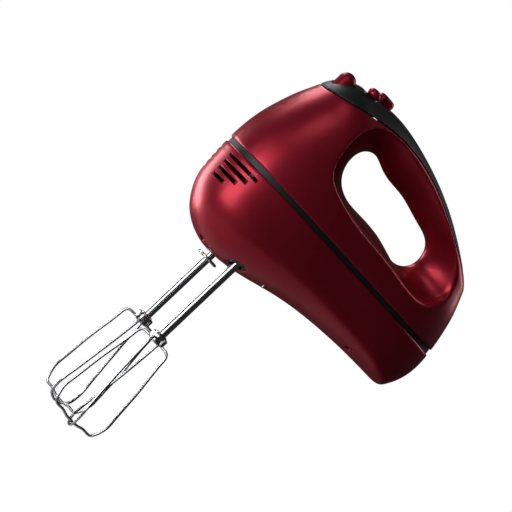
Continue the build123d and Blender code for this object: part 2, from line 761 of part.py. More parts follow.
def make_controls():
    """Eject button and fork, speed knob and slider, turbo button and their switches."""
    button = post(eject_x, 0, eject_skirt, eject_dome_level, eject_r)
    button += Pos(eject_x, 0, eject_dome_level) * Sphere(eject_r)
    button -= post(eject_x, 0, 0, eject_skirt + 4, stem_r)
    place("eject_button", button)
    fork = post(eject_x, 0, arm_level, eject_skirt + 4, stem_r)
    fork += block(eject_x - arm_width / 2, beater_x + arm_width / 2, -arm_width / 2, arm_width / 2,
                  arm_level, arm_level + arm_thick)
    fork += block(beater_x - arm_width / 2, beater_x + arm_width / 2, -reach_y - 4, reach_y + 4,
                  arm_level, arm_level + arm_thick)
    for side, y in beater_sides():
        fork += post(beater_x, y, beater_shaft_top + 0.4, arm_level, prong_r)
    place("ejector_fork", fork)
    spring_low = eject_skirt - 22
    seat = post(eject_x, 0, spring_low - 2, spring_low, 7.5)
    seat += block(eject_x - 7.5, eject_x + 5, -far, far, spring_low - 2, spring_low)
    seat &= body_form(wall)
    seat -= post(eject_x, 0, 0, far, stem_r + slide_gap)
    place("eject_spring_seat", seat)
    place("eject_spring", coil_spring(eject_x, 0, spring_low, eject_skirt, 4.6, 0.6, 7))

    head = post(speed_x, speed_start_y, speed_knob_bottom, speed_knob_bottom + speed_knob_height, speed_knob_r)
    head = fillet(head.edges().group_by(Axis.Z)[-1], 2.8)
    head -= post(speed_x, speed_start_y, 0, speed_knob_bottom + 2.5, speed_stem_r)
    place("speed_knob", head)
    slider = block(speed_x - 4, speed_x + 4, speed_start_y - 6, speed_start_y + 6,
                   switch_top + slide_gap, switch_top + slide_gap + 1.6)
    slider += post(speed_x, speed_start_y, switch_top + slide_gap, speed_knob_bottom + 2.5, speed_stem_r)
    place("speed_slider", slider)
    place("speed_switch", block(speed_x - 5, speed_x + 5, -15, 15, 66.0, switch_top))

    button = turbo_shape(0, turbo_bottom, turbo_top)
    button = fillet(button.edges().group_by(Axis.Z)[-1], 2.4)
    place("turbo_button", button)
    place("turbo_switch", block(turbo_x - 4.5, turbo_x + 4.5, -5, 5, 66.0, switch_top))
    place("turbo_spring", coil_spring(turbo_x, 0, switch_top, turbo_bottom, 2.6, 0.35, 3))
    board = block(speed_x - 8, speed_x + 8, -16, 16, 64.4, 66.0)
    board += block(speed_x, turbo_x + 5.5, -9, 9, 64.4, 66.0)
    place("switch_board", board)


def make_fasteners():
    screws = Part()
    for x, y in housing_post_list():
        screws += post(x, y, -seam_under - 22, up(14), screw_r)
        screws += post(x, y, -seam_under - 24, -seam_under - 22, 2.8)
    place("housing_screws", screws)
    screws = Part()
    for x, z in cover_screws:
        screws += post(along(x), 0, up(z) - 3, up(z) + 5.5, screw_r)
        screws += post(along(x), 0, up(z) - 5, up(z) - 3, 2.8)
    place("cover_screws", screws)


make_housings()
make_heel()
make_gearbox()
make_spindles()
make_armature()
make_stator()
make_beaters()
make_controls()
make_fasteners()

os.makedirs("parts", exist_ok=True)
for name, shape in NODES.items():
    export_step(shape, "parts/" + name + ".step")
    print(name, len(shape.solids()), round(shape.volume, 1))
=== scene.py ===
import json
from math import atan2, cos, pi, radians, sin

import bpy
import numpy as np
from mathutils import Matrix, Vector
from mathutils.bvhtree import BVHTree


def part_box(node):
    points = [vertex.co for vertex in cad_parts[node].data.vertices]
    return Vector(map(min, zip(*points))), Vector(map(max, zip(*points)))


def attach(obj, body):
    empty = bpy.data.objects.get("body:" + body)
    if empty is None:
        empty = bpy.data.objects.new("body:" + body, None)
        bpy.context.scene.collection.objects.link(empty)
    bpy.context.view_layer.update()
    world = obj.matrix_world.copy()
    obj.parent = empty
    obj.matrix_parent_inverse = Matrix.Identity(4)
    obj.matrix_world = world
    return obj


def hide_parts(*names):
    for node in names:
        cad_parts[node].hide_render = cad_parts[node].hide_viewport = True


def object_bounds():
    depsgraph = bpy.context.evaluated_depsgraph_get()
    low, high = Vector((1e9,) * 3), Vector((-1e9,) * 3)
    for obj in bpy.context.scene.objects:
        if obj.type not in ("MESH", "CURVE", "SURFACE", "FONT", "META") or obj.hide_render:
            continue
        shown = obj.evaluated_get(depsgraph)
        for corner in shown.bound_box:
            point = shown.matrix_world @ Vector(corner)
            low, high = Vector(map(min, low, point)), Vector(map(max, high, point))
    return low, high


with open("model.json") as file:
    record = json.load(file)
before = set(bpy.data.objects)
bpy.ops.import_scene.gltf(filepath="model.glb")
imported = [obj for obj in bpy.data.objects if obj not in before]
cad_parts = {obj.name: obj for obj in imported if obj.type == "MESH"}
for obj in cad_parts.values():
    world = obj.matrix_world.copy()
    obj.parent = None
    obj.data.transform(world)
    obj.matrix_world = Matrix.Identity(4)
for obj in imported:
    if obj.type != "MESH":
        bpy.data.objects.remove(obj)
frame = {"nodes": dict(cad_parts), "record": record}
cad_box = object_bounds()

# A hand mixer. Sizes are millimetres in the drawing's datum: X = 0 in the front third, Y = 0 the
# middle plane, Z = 0 the seam, +X to the heel. at() turns them into metres in the frame.
MM = 0.001
NOSE_REACH = 69.8
SEAM_OVER = 1.4
NOSE_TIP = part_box("lower_housing")[0][0] / MM
SEAM_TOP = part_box("seam_band")[1][2] / MM
SHIFT = Vector((NOSE_TIP + NOSE_REACH, 0.0, SEAM_TOP - SEAM_OVER))


def at(x, y, z):
    """Drawing millimetres to metres in the frame."""
    return (Vector((x, y, z)) + SHIFT) * MM


def from_frame(point):
    """Metres in the frame to drawing millimetres."""
    return Vector(point) / MM - SHIFT


# ---------------------------------------------------------------- nodes and materials

def linear(code):
    """An sRGB hex colour as linear red, green, blue, alpha."""
    parts = [int(code[i:i + 2], 16) / 255 for i in (1, 3, 5)]
    return [c / 12.92 if c <= 0.04045 else ((c + 0.055) / 1.055) ** 2.4 for c in parts] + [1.0]


def node(tree, kind, settings=None, links=None):
    """Adds one node. settings are its properties or input values, links feed its inputs."""
    made = tree.nodes.new(kind)
    for key, value in (settings or {}).items():
        if isinstance(key, str) and hasattr(made, key):
            setattr(made, key, value)
        else:
            made.inputs[key].default_value = value
    for key, source in (links or {}).items():
        tree.links.new(source, made.inputs[key])
    return made


def material(name, shader):
    """A new node material with its output and a Principled shader with these constants."""
    made = bpy.data.materials.new(name)
    made.use_nodes = True
    tree = made.node_tree
    tree.nodes.clear()
    bsdf = node(tree, "ShaderNodeBsdfPrincipled", shader)
    node(tree, "ShaderNodeOutputMaterial", links={"Surface": bsdf.outputs[0]})
    return made, tree, bsdf


def surface_noise(tree, size_mm, detail=2.0):
    """Noise in object space whose features are size_mm across."""
    place = node(tree, "ShaderNodeTexCoord")
    return node(tree, "ShaderNodeTexNoise", {"Scale": 1000.0 / size_mm, "Detail": detail},
                {"Vector": place.outputs["Object"]})


def vary(tree, bsdf, noise, socket, low, high):
    """Drives a socket between two values by the noise."""
    span = node(tree, "ShaderNodeMapRange", {"To Min": low, "To Max": high}, {"Value": noise.outputs[0]})
    tree.links.new(span.outputs[0], bsdf.inputs[socket])


def tint(tree, bsdf, noise, dark, light):
    """Mixes two close colours by the noise."""
    ramp = node(tree, "ShaderNodeValToRGB", links={"Fac": noise.outputs[0]})
    ramp.color_ramp.elements[0].position = 0.35
    ramp.color_ramp.elements[1].position = 0.65
    ramp.color_ramp.elements[0].color = linear(dark)
    ramp.color_ramp.elements[1].color = linear(light)
    tree.links.new(ramp.outputs[0], bsdf.inputs["Base Color"])


def relief(tree, bsdf, noise, strength, depth_mm):
    """A bump of depth_mm from the noise."""
    bump = node(tree, "ShaderNodeBump", {"Strength": strength, "Distance": depth_mm * MM},
                {"Height": noise.outputs[0]})
    tree.links.new(bump.outputs[0], bsdf.inputs["Normal"])


def make_red_lacquer():
    """ABS sprayed with a metallic red lacquer: fine flakes, a smooth clear film over them."""
    made, tree, bsdf = material("red_metallic_lacquer_on_abs", {
        "Metallic": 0.6, "Roughness": 0.36, "Specular IOR Level": 0.25,
        "Coat Weight": 0.08, "Coat Roughness": 0.15, "Coat IOR": 1.4})
    slow = surface_noise(tree, 42.0, 1.0)
    tint(tree, bsdf, slow, "#93192a", "#9a1c2e")
    fine = surface_noise(tree, 6.0, 1.0)
    relief(tree, bsdf, fine, 0.06, 0.05)
    mottled = surface_noise(tree, 9.0, 3.0)
    vary(tree, bsdf, mottled, "Roughness", 0.33, 0.39)
    return made


def make_black_abs():
    """ABS moulded in a fine spark-eroded tool: near black, satin, fine even grain."""
    made, tree, bsdf = material("black_abs_satin_moulding", {"Roughness": 0.5, "IOR": 1.45})
    slow = surface_noise(tree, 20.0, 2.0)
    tint(tree, bsdf, slow, "#121515", "#171a1a")
    # real spark grain is 0.05 mm; drawn at 0.5 mm so that it shows
    grain = surface_noise(tree, 0.5, 2.0)
    relief(tree, bsdf, grain, 0.25, 0.04)
    vary(tree, bsdf, grain, "Roughness", 0.44, 0.56)
    return made


def make_chromed_wire():
    """Steel rod, drawn and chromium plated: bright, with faint lengthwise drawing lines."""
    made, tree, bsdf = material("chromed_drawn_steel", {"Metallic": 1.0, "Roughness": 0.14})
    place = node(tree, "ShaderNodeTexCoord")
    lengthwise = node(tree, "ShaderNodeMapping", {"Scale": (1.0, 1.0, 0.04)},
                      {"Vector": place.outputs["Object"]})
    lines = node(tree, "ShaderNodeTexNoise", {"Scale": 1000.0 / 0.6, "Detail": 2.0},
                 {"Vector": lengthwise.outputs[0]})
    tint(tree, bsdf, lines, "#aeafb2", "#bfc0c2")
    vary(tree, bsdf, lines, "Roughness", 0.14, 0.26)
    relief(tree, bsdf, lines, 0.10, 0.02)
    return made


def make_plain(name, dark, light, roughness, metallic=0.0, grain_mm=1.2, strength=0.15):
    """A plain stock material with its own grain, for the pieces inside."""
    made, tree, bsdf = material(name, {"Metallic": metallic, "Roughness": roughness})
    grain = surface_noise(tree, grain_mm, 3.0)
    tint(tree, bsdf, grain, dark, light)
    vary(tree, bsdf, grain, "Roughness", roughness * 0.85, min(1.0, roughness * 1.2))
    relief(tree, bsdf, grain, strength, 0.03)
    return made


RED = make_red_lacquer()
BLACK = make_black_abs()
CHROME = make_chromed_wire()
STOCK = {
    "black_band": make_plain("black_pvc_extruded_strip", "#0c0e0e", "#121414", 0.5, grain_mm=2.0),
    "black_rubber": make_plain("black_rubber_moulded", "#141414", "#1b1b1b", 0.75,
                               grain_mm=0.8, strength=0.3),
    "black_socket": make_plain("black_nylon_moulded_socket", "#0e0f0f", "#141515", 0.45),
    "steel": make_plain("steel_ground", "#8f9194", "#a2a4a6", 0.3, 1.0, 0.5),
    "zinc_steel": make_plain("steel_zinc_plated", "#9c9d9a", "#b0b1ad", 0.32, 1.0, 0.8),
    "die_cast": make_plain("zinc_alloy_die_cast", "#85878a", "#979a9c", 0.5, 1.0, 1.6, 0.3),
    "sintered_bronze": make_plain("bronze_sintered", "#8c6a3e", "#a07c4a", 0.48, 1.0, 0.4, 0.3),
    "white_acetal": make_plain("acetal_moulded_natural", "#d2d0c6", "#dedcd3", 0.38),
    "black_nylon": make_plain("nylon_glass_filled_black", "#161717", "#1f2020", 0.55, grain_mm=0.7),
    "copper_winding": make_plain("copper_enamelled_winding", "#8a4520", "#a3562a", 0.3, 1.0, 0.5, 0.4),
    "carbon": make_plain("carbon_graphite_pressed", "#1a1a1b", "#252526", 0.7),
    "circuit_board": make_plain("phenolic_paper_board", "#8a6a35", "#9a7740", 0.6),
    "red_shell": RED,
    "black_cover": BLACK,
    "chromed_steel": CHROME,
}


def finish_piece(piece, surface, body, stands_for):
    """Gives a finished piece its material and body, and hides the nodes that it stands for."""
    piece.data.materials.clear()
    piece.data.materials.append(surface)
    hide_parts(*stands_for)
    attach(piece, body)


# ---------------------------------------------------------------- modelling helpers

def deselect():
    bpy.ops.object.select_all(action="DESELECT")


def pick(piece):
    """Makes one object the only selected and active one."""
    deselect()
    piece.select_set(True)
    bpy.context.view_layer.objects.active = piece


def named(name):
    """Names the object that was just added, and its mesh."""
    piece = bpy.context.object
    piece.name = name
    piece.data.name = name
    return piece


def apply_place(piece):
    pick(piece)
    bpy.ops.object.transform_apply(location=True, rotation=True, scale=True)


def edit(piece):
    """Opens a piece in edit mode with everything selected."""
    pick(piece)
    bpy.ops.object.mode_set(mode="EDIT")
    bpy.ops.mesh.select_all(action="SELECT")


def done():
    bpy.ops.object.mode_set(mode="OBJECT")


def modify(piece, kind, settings):
    """Adds a modifier with these settings and applies it."""
    pick(piece)
    modifier = piece.modifiers.new(kind.lower(), kind)
    for key, value in settings.items():
        setattr(modifier, key, value)
    bpy.ops.object.modifier_apply(modifier=modifier.name)


def combine(piece, tool, operation, keep_tool=False):
    """Boolean with a tool piece, which is then removed."""
    modify(piece, "BOOLEAN", {"operation": operation, "object": tool, "solver": "EXACT"})
    if not keep_tool:
        bpy.data.objects.remove(tool)


def duplicate(piece, name):
    """A copy with its own mesh."""
    pick(piece)
    bpy.ops.object.duplicate()
    return named(name)


def soften(piece, voxel_mm, passes):
    """Gives the piece an even skin with slightly rounded edges, as a moulding has."""
    modify(piece, "REMESH", {"mode": "VOXEL", "voxel_size": voxel_mm * MM, "adaptivity": 0.0})
    modify(piece, "SMOOTH", {"factor": 0.5, "iterations": passes})
    pick(piece)
    bpy.ops.object.shade_smooth()


def round_rim(piece, cutter, form, reach_mm, passes):
    """Rounds the edge between the form and a cut: only the points near both surfaces are smoothed.

    Points close under the cover's lower edge stay, so that the joint with the cover keeps its line.
    """
    surfaces = []
    for source in (cutter, form):
        source.data.calc_loop_triangles()
        corners = [v.co for v in source.data.vertices]
        faces = [t.vertices for t in source.data.loop_triangles]
        surfaces.append(BVHTree.FromPolygons(corners, faces))
    group = piece.vertex_groups.new(name="rim")
    reach = reach_mm * MM
    edge = smooth_curve(COVER_LINE[:, 0], COVER_LINE[:, 1])
    for vertex in piece.data.vertices:
        gap = max(tree.find_nearest(vertex.co, reach)[3] or reach for tree in surfaces)
        if gap < reach:
            spot = from_frame(vertex.co)
            under_edge = (float(edge(spot.x)[0]) - spot.z) / reach_mm
            weight = min(1.0, 2.0 * (1.0 - gap / reach), max(0.0, 2.0 * under_edge - 1.0))
            group.add([vertex.index], weight, "REPLACE")
    modify(piece, "SMOOTH", {"factor": 0.5, "iterations": passes, "vertex_group": "rim"})


def closed_curve(points, count):
    """count points on a smooth closed curve through the given points."""
    ring = np.array(points, float)
    n = len(ring)
    wrapped = np.vstack([ring[-4:], ring, ring[:5]])
    steps = np.linalg.norm(np.diff(wrapped, axis=0), axis=1)
    stations = np.concatenate([[0], np.cumsum(steps)])
    curve = smooth_curve(stations, wrapped)
    return curve(np.linspace(stations[4], stations[4 + n], count, endpoint=False))


def smooth_curve(stops, values):
    """The natural cubic curve through the values at the stops, as a function."""
    stops = np.array(stops, float)
    values = np.array(values, float)
    if values.ndim == 1:
        values = values[:, None]
    n = len(stops)
    h = np.diff(stops)
    system = np.eye(n)
    right = np.zeros_like(values)
    for i in range(1, n - 1):
        system[i, i - 1:i + 2] = h[i - 1], 2 * (h[i - 1] + h[i]), h[i]
        right[i] = 3 * ((values[i + 1] - values[i]) / h[i] - (values[i] - values[i - 1]) / h[i - 1])
    bend = np.linalg.solve(system, right)
    slope = np.diff(values, axis=0) / h[:, None] - h[:, None] * (2 * bend[:-1] + bend[1:]) / 3
    twist = np.diff(bend, axis=0) / (3 * h[:, None])

    def curve(t):
        t = np.asarray(t, float)
        i = np.clip(np.searchsorted(stops, t) - 1, 0, n - 2)
        d = (t - stops[i])[..., None]
        return values[i] + slope[i] * d + bend[i] * d ** 2 + twist[i] * d ** 3

    return curve


def stack_of_rings(name, rings):
    """A closed tube of point rings: a circle extruded ring by ring, with its ends filled."""
    count = len(rings[0])
    deselect()
    bpy.ops.mesh.primitive_circle_add(vertices=count, radius=1.0, fill_type="NGON")
    piece = named(name)
    bpy.ops.object.mode_set(mode="EDIT")
    for _ in rings[1:]:
        bpy.ops.mesh.extrude_region_move(TRANSFORM_OT_translate={"value": (0, 0, 1)})
    done()
    # each ring is then put in its own place
    corners = piece.data.vertices
    order = sorted(range(len(corners)), key=lambda i: round(corners[i].co.z))
    for level, ring in enumerate(rings):
        chosen = order[level * count:(level + 1) * count]
        chosen.sort(key=lambda i: atan2(corners[i].co.y, corners[i].co.x) % (2 * pi))
        for i, point in zip(chosen, ring):
            corners[i].co = point
    edit(piece)
    bpy.ops.mesh.normals_make_consistent(inside=False)
    done()
    return piece


def box(name, low, high):
    """A block between two corners in drawing millimetres."""
    a, b = at(*low), at(*high)
    deselect()
    bpy.ops.mesh.primitive_cube_add(size=1.0, location=(a + b) / 2)
    piece = named(name)
    piece.scale = b - a
    apply_place(piece)
    return piece


def rod(name, x, y, z0, z1, radius, sides=64):
    """An upright cylinder in drawing millimetres."""
    deselect()
    bpy.ops.mesh.primitive_cylinder_add(
        vertices=sides, radius=radius * MM, depth=abs(z1 - z0) * MM, location=at(x, y, (z0 + z1) / 2))
    piece = named(name)
    apply_place(piece)
    return piece


def join(pieces, name):
    """Joins pieces into the first one."""
    deselect()
    for piece in pieces:
        piece.select_set(True)
    bpy.context.view_layer.objects.active = pieces[0]
    bpy.ops.object.join()
    return named(name)


def turned(name, profile, centre, axis="Z", steps=96):
    """A turned piece: a profile of (radius, height) millimetres spun round an axis through centre."""
    deselect()
    bpy.ops.mesh.primitive_plane_add(size=1.0)
    piece = named(name)
    bpy.ops.object.mode_set(mode="EDIT")
    bpy.ops.mesh.delete(type="ONLY_FACE")
    bpy.ops.mesh.select_all(action="SELECT")
    bpy.ops.mesh.delete(type="VERT")
    done()
    mesh = piece.data
    mesh.vertices.add(len(profile))
    for vertex, (radius, height) in zip(mesh.vertices, profile):
        vertex.co = (radius * MM, 0, height * MM)
    mesh.edges.add(len(profile) - 1)
    for i, edge in enumerate(mesh.edges):
        edge.vertices = (i, i + 1)
    mesh.update()
    edit(piece)
    bpy.ops.mesh.spin(steps=steps, angle=2 * pi, center=(0, 0, 0), axis=(0, 0, 1))
    bpy.ops.mesh.select_all(action="SELECT")
    bpy.ops.mesh.remove_doubles(threshold=0.00001)
    bpy.ops.mesh.normals_make_consistent(inside=False)
    done()
    if axis == "Y":
        piece.rotation_euler = (-pi / 2, 0, 0)
    piece.location = at(*centre)
    apply_place(piece)
    bpy.ops.object.shade_smooth_by_angle(angle=radians(35))
    return piece


# ---------------------------------------------------------------- the body's form

# Plan sections: level, nose tip, nose radius, heel tip, heel radius, half width
PLAN = np.array([
    (-64, -18, 12, 120, 21, 31.0),
    (-56.2, -42.2, 22, 122.5, 23, 36.0),
    (-50.8, -52.1, 28, 124, 24, 38.5),
    (-42.8, -59.9, 33, 126.5, 25, 40.5),
    (-33.5, -65.3, 36, 132, 27, 41.5),
    (-18, -68.6, 37.5, 137.2, 28, 41.0),
    (0, -69.8, 38, 136.2, 28, 41.0),
    (17.2, -69.2, 38, 132.2, 27, 40.5),
    (29, -67.3, 37, 128.3, 25.5, 40.0),
    (41, -64, 36, 122.8, 22.5, 39.5),
    (53.1, -59.8, 34, 117, 20.5, 37.0),
    (64, -55.0, 31, 110.5, 19, 34.0),
    (76, -50.5, 28, 102.5, 17, 30.0),
    (96, -42, 24, 88, 14, 24.0),
])
# Lengthwise sections: station, height of the top line, level of the underside
PROFILE = np.array([
    (-84, 40.0, -59.0),
    (-62, 61.0, -59.2),
    (-52.4, 72.5, -59.2),
    (-40, 82.0, -59.2),
    (-26, 85.2, -59.2),
    (-7, 87.9, -57.0),
    (24, 85.8, -49.2),
    (50.4, 79.9, -44.4),
    (76.9, 70.4, -41.8),
    (96, 60.9, -40.8),
    (112, 51.6, -40.5),
    (130, 40.0, -40.5),
    (150, 26.0, -40.5),
])
CROWN_HALF_WIDTH = 48.0
BELLY_POWER = 2.1
CREASE = 260.0
HEEL_X = -SHIFT.x
REST_LEVEL = -SHIFT.z


def width_table(inset):
    """Squared half width of the plan sections on a grid of levels and stations."""
    levels = np.linspace(-62, 92, 309)
    stations = np.linspace(-72, 141, 533)
    rows = smooth_curve(PLAN[:, 0], PLAN[:, 1:])(levels)
    table = np.zeros((len(levels), len(stations)))
    for k, (nose, nose_r, heel, heel_r, half) in enumerate(rows):
        tip, end = nose + inset, heel - inset
        radius, heel_radius, widest = nose_r - inset, heel_r - inset, half - inset
        side = [(tip + radius * (1 + cos(radians(a))), radius * sin(radians(a)))
                for a in (180, 146, 112)]
        side.append((20, widest))
        side.append((64, 0.47 * widest + 0.53 * heel_radius + 3.0))
        side += [(end + heel_radius * (cos(radians(a)) - 1), heel_radius * sin(radians(a)))
                 for a in (70, 36, 0)]
        ring = side + [(x, -y) for x, y in reversed(side[1:-1])]
        curve = closed_curve(ring, 1200)
        upper = curve[curve[:, 1] >= 0]
        upper = upper[np.argsort(upper[:, 0])]
        table[k] = np.interp(stations, upper[:, 0], upper[:, 1] ** 2, left=-1.0, right=-1.0)
    return levels, stations, table


def body_form(name, inset, divisions):
    """A ball whose points are pushed out, each along its own ray, until they meet the body's form."""
    levels, stations, table = width_table(inset)
    lines = smooth_curve(PROFILE[:, 0], PROFILE[:, 1:])(stations)
    deselect()
    bpy.ops.mesh.primitive_ico_sphere_add(subdivisions=divisions, radius=1.0)
    piece = named(name)
    count = len(piece.data.vertices)
    rays = np.empty(count * 3)
    piece.data.vertices.foreach_get("co", rays)
    rays = rays.reshape(-1, 3)
    # rays are stretched lengthwise so that the long form gets even faces
    rays = rays * (1.55, 0.72, 1.0)
    rays /= np.linalg.norm(rays, axis=1)[:, None]
    middle = np.array((31.0, 0.0, 8.0))

    def inside(reach):
        x, y, z = (middle + rays * reach[:, None]).T
        u = np.clip((x - stations[0]) / (stations[1] - stations[0]), 0, len(stations) - 1.001)
        v = np.clip((z - levels[0]) / (levels[1] - levels[0]), 0, len(levels) - 1.001)
        i, j = u.astype(int), v.astype(int)
        fu, fv = u - i, v - j
        plan = ((table[j, i] * (1 - fu) + table[j, i + 1] * fu) * (1 - fv)
                + (table[j + 1, i] * (1 - fu) + table[j + 1, i + 1] * fu) * fv)
        top = np.interp(x, stations, lines[:, 0]) - inset
        bottom = np.interp(x, stations, lines[:, 1]) + inset
        crown = (CROWN_HALF_WIDTH - inset) ** 2
        share = np.where(z > 0, z / top, z / bottom)
        over = crown * (1 - share ** 2)
        under = crown * np.maximum(1 - np.abs(share) ** BELLY_POWER, 0) ** (2 / BELLY_POWER)
        loaf = np.where(z > 0, over, under)
        loaf = np.where(np.abs(share) >= 1, -1.0, loaf)
        h = np.clip(0.5 + 0.5 * (loaf - plan) / CREASE, 0, 1)
        least = loaf * (1 - h) + plan * h - CREASE * h * (1 - h)
        least = np.where(np.minimum(plan, loaf) <= 0, -1.0, least)
        return y ** 2 < least

    low = np.full(count, 2.0)
    high = np.full(count, 160.0)
    for _ in range(24):
        guess = (low + high) / 2
        within = inside(guess)
        low = np.where(within, guess, low)
        high = np.where(within, high, guess)
    points = (middle + rays * low[:, None] + np.array(SHIFT)) * MM
    piece.data.vertices.foreach_set("co", points.ravel())
    piece.data.update()
    return piece


# ---------------------------------------------------------------- the finger opening and cover line

OPENING_MIDDLE = [
    (1.8, 34.8), (9.5, 29.8), (30, 27.9), (55, 26.2), (74, 23.9), (81.3, 28.6), (83.8, 37),
    (80.5, 46), (63, 52.4), (39, 56.6), (18, 58.2), (5, 61), (-1.4, 57.2), (-3.9, 46.5),
]
OPENING_RIM = [
    (-20, 32), (-5, 25.5), (24, 22), (56, 20.5), (82, 18.5), (98, 23), (104, 33),
    (99.5, 46), (77, 61.3), (44.5, 74), (14, 78), (-9, 75.5), (-21.5, 67), (-26, 49),
]
OPENING_OUTSIDE = [
    (-24, 29), (-7, 21.5), (22, 17), (58, 15), (86, 12.5), (104, 18), (111, 33),
    (104, 47), (78.5, 62), (45, 74.8), (14, 78.5), (-10, 76), (-23.5, 68), (-29, 49),
]
RIM_HALF = 22.0
OUTSIDE_HALF = 60.0
WALL = 2.4


def grown(ring, amount):
    """Pushes a closed ring of points outwards by amount."""
    along = np.roll(ring, -1, axis=0) - np.roll(ring, 1, axis=0)
    normal = np.stack([along[:, 1], -along[:, 0]], axis=1)
    return ring + amount * normal / np.linalg.norm(normal, axis=1)[:, None]


def finger_opening(name, amount, count=180):
    """The flared cutter of the finger opening, rounded where it narrows to the handle's underside."""
    shapes = [closed_curve(s, count) for s in (OPENING_MIDDLE, OPENING_RIM, OPENING_OUTSIDE)]
    halves = [0, 1.5, 3, 4.5, 6, 7.5, 9, 11, 13, 15, 17, 19, RIM_HALF, 26, 34, 46, OUTSIDE_HALF]
    rings = []
    for y in [-h for h in reversed(halves[1:])] + halves:
        reach = abs(y)
        if reach <= RIM_HALF:
            share = (reach / RIM_HALF) ** 1.55
            ring = shapes[0] * (1 - share) + shapes[1] * share
        else:
            share = (reach - RIM_HALF) / (OUTSIDE_HALF - RIM_HALF)
            ring = shapes[1] * (1 - share) + shapes[2] * share
        ring = grown(ring, amount)
        rings.append([at(x, y, z) for x, z in ring])
    return stack_of_rings(name, rings)


# Lower edge of the top cover, seen from the side
COVER_LINE = np.array([
    (-75, 62.0), (-57, 64.6), (-49, 67.2), (-39.5, 70.3), (-24.7, 74.2), (-10, 77.6), (4.9, 79.4),
    (20.3, 79.3), (43, 75.8), (58, 71.0), (81, 61.5), (106, 52.6), (144, 38.0),
])


def above_cover_line(name, lift):
    """A block whose underside follows the cover's lower edge, lifted by lift."""
    stations = np.linspace(COVER_LINE[0, 0], COVER_LINE[-1, 0], 120)
    levels = smooth_curve(COVER_LINE[:, 0], COVER_LINE[:, 1])(stations)[:, 0]
    outline = [(x, z + lift) for x, z in zip(stations, levels)] + [(144, 120), (-75, 120)]
    return stack_of_rings(name, [[at(x, y, z) for x, z in outline] for y in (-70, 70)])


# ---------------------------------------------------------------- the shells

BEATER_X = -14.0
BEATER_Y = 19.0
SEAM_UNDER = 1.8
SOCKET_R = 6.2
EJECT = (-45.2, 0.0)
EJECT_R = 6.1
EJECT_DOME_LEVEL = 78.4
SPEED_X = -29.0
SPEED_START_Y = -8.0
SEAT_LEVEL = 83.2
TURBO_X = -16.5
TURBO_LONG = 13.5
TURBO_WIDE = 9.5
SLIDE_GAP = 0.3
COVER_GAP = 0.15
SCREW_HOLES = [(-38.5, -9.0), (-38.5, 9.0), (84.0, -22.0), (84.0, 22.0)]


def make_hollow_body():
    """The whole body as one hollow shell with its finger opening."""
    detail = 7
    shell = body_form("body_shell", 0.0, detail)
    hollow = body_form("body_hollow", WALL, detail - 1)
    combine(hollow, finger_opening("opening_lined", WALL, 120), "DIFFERENCE")
    outside = duplicate(shell, "body_outside")
    opening = finger_opening("opening", 0.0)
    combine(shell, opening, "DIFFERENCE", keep_tool=True)
    combine(shell, hollow, "DIFFERENCE")
    return shell, opening, outside


def vent_cutters():
    """Four rows of slots on each side of the nose, shorter towards the bottom."""
    slots = []
    for row in range(4):
        z = -7.4 - row * 5.1
        rear = -51 - row * 3.4
        for side in (-1, 1):
            y0, y1 = sorted((side * 9.5, side * 60))
            slot = box("vent_slot", (-90, y0, z - 1.2), (rear, y1, z + 1.2))
            slots.append(slot)
    return slots


def make_shells():
    """Lower housing, upper housing and top cover, cut from the one hollow body."""
    whole, opening, outside = make_hollow_body()
    lower = duplicate(whole, "lower_shell")
    cover = duplicate(whole, "handle_cover")
    upper = whole
    upper.name = "upper_shell"

    under_seam = box("under_seam", (-120, -80, -90), (HEEL_X - 0.1, 80, -SEAM_UNDER))
    combine(lower, under_seam, "INTERSECT")
    for side in (-1, 1):
        mouth = rod("socket_mouth", BEATER_X, side * BEATER_Y, -80, -30, SOCKET_R)
        combine(lower, mouth, "DIFFERENCE")
    pad_seat = box("pad_seat", (HEEL_X - 3, -8, REST_LEVEL - 9), (HEEL_X + 9, 8, REST_LEVEL + 9))
    combine(lower, pad_seat, "DIFFERENCE")
    soften(lower, 0.95, 6)
    for x, y in SCREW_HOLES:
        combine(lower, rod("screw_hole", x, y, -80, -24, 2.9, 40), "DIFFERENCE")
    for slot in vent_cutters():
        combine(lower, slot, "DIFFERENCE")
    finish_piece(lower, RED, "housing", ["lower_housing"])

    over_seam = box("over_seam", (-120, -80, SEAM_OVER), (HEEL_X + 20, 80, 120))
    combine(upper, over_seam, "INTERSECT")
    combine(upper, above_cover_line("cover_room", -COVER_GAP), "DIFFERENCE")
    soften(upper, 0.9, 6)
    round_rim(upper, opening, outside, 4.5, 30)
    bpy.data.objects.remove(opening)
    bpy.data.objects.remove(outside)
    finish_piece(upper, RED, "housing", ["upper_housing"])

    combine(cover, above_cover_line("cover_part", COVER_GAP), "INTERSECT")
    seat_plate = box("seat_plate", (SPEED_X - 6.3, -12, SEAT_LEVEL - 2), (SPEED_X + 6.3, 12, SEAT_LEVEL))
    combine(cover, seat_plate, "UNION")
    for hole in (
            rod("eject_hole", EJECT[0], EJECT[1], 40, 120, EJECT_R + SLIDE_GAP),
            box("speed_seat", (SPEED_X - 5.3, -13.3, SEAT_LEVEL), (SPEED_X + 5.3, 13.3, 120)),
            box("speed_slot", (SPEED_X - 1.9, -9.9, 40), (SPEED_X + 1.9, 9.9, 120)),
            oval("turbo_hole", TURBO_LONG / 2 + SLIDE_GAP, TURBO_WIDE / 2 + SLIDE_GAP, 60, 120)):
        combine(cover, hole, "DIFFERENCE")
    soften(cover, 0.6, 5)
    finish_piece(cover, BLACK, "housing", ["top_cover"])


